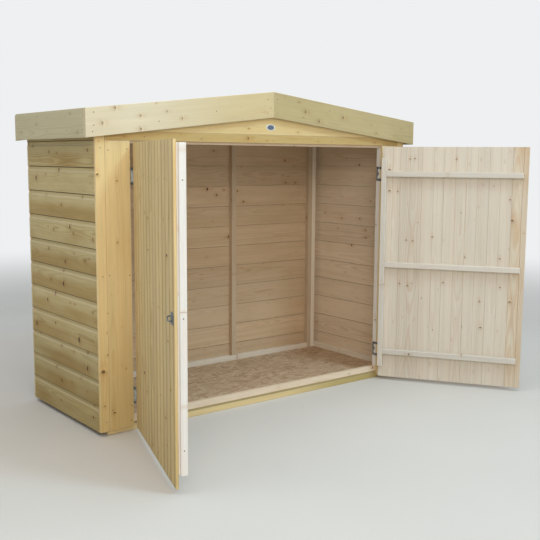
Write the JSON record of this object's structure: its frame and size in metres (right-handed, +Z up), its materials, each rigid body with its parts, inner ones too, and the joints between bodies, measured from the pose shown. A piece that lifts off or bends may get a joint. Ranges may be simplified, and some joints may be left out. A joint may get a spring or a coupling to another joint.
{
  "type": "bike shelter",
  "caption": "Low pressure-treated timber store with an apex felt roof, shiplap walls, a board floor and double doors standing open, for keeping bikes.",
  "frame": {"origin": "centre of the walls' plan, on the underside of the middle floor bearer", "axes": "+X to the right along the front, seen from outside; +Y from the doors to the back wall; +Z up"},
  "size_m": [2.1992, 1.5061, 1.54],
  "materials": {
    "treated_wood": "pressure-treated softwood, sawn, matt",
    "trim_wood": "pressure-treated softwood, planed, matt",
    "pale_wood": "planed softwood framing, matt",
    "inner_wood": "softwood cladding seen from inside, matt",
    "floor_board": "oriented strand board, matt",
    "roof_felt": "mineral roofing felt, gritty, matt",
    "zinc": "zinc-plated steel, satin"
  },
  "bodies": {
    "store": {"floor_bearers": "trim_wood", "floor_deck": "floor_board", "right_wall_boards": "treated_wood", "left_wall_boards": "treated_wood", "side_wall_rails": "pale_wood", "back_wall_boards": "treated_wood", "back_corner_posts": "pale_wood", "back_wall_posts": "pale_wood", "back_wall_rails": "pale_wood", "front_posts": "pale_wood", "front_short_rails": "pale_wood", "sill_rail": "pale_wood", "head_rail": "pale_wood", "pilasters": "trim_wood", "front_corner_strips": "trim_wood", "header_board": "trim_wood", "gable_board": "trim_wood", "ridge_beam": "pale_wood", "gable_rafters": "pale_wood", "roof_purlins": "pale_wood", "eaves_battens": "pale_wood", "rake_battens": "pale_wood", "front_right_bargeboard": "treated_wood", "front_left_bargeboard": "treated_wood", "rear_right_bargeboard": "treated_wood", "rear_left_bargeboard": "treated_wood", "right_fascia": "treated_wood", "left_fascia": "treated_wood", "right_roof_deck": "inner_wood", "left_roof_deck": "inner_wood", "right_roof_felt": "roof_felt", "left_roof_felt": "roof_felt", "ridge_felt": "roof_felt", "jamb_hinges": "zinc"},
    "left_door": {"left_door_boards": "treated_wood", "left_door_stile": "pale_wood", "left_door_ledges": "pale_wood", "left_door_meeting_batten": "pale_wood", "left_door_hinges": "zinc", "left_door_staple": "zinc"},
    "right_door": {"right_door_boards": "treated_wood", "right_door_stile": "pale_wood", "right_door_ledges": "pale_wood", "right_door_hinges": "zinc", "right_door_hasp": "zinc"}
  },
  "joints": [
    {"name": "left_door_hinge", "type": "hinge", "parent": "store", "child": "left_door", "pos_m": [-0.7683, -0.3725, 0.65], "axis": [0, 0, -1], "range_deg": [-108.5, 66.5]},
    {"name": "right_door_hinge", "type": "hinge", "parent": "store", "child": "right_door", "pos_m": [0.7683, -0.3725, 0.65], "axis": [0, 0, 1], "range_deg": [-123.1, 51.9]}
  ]
}
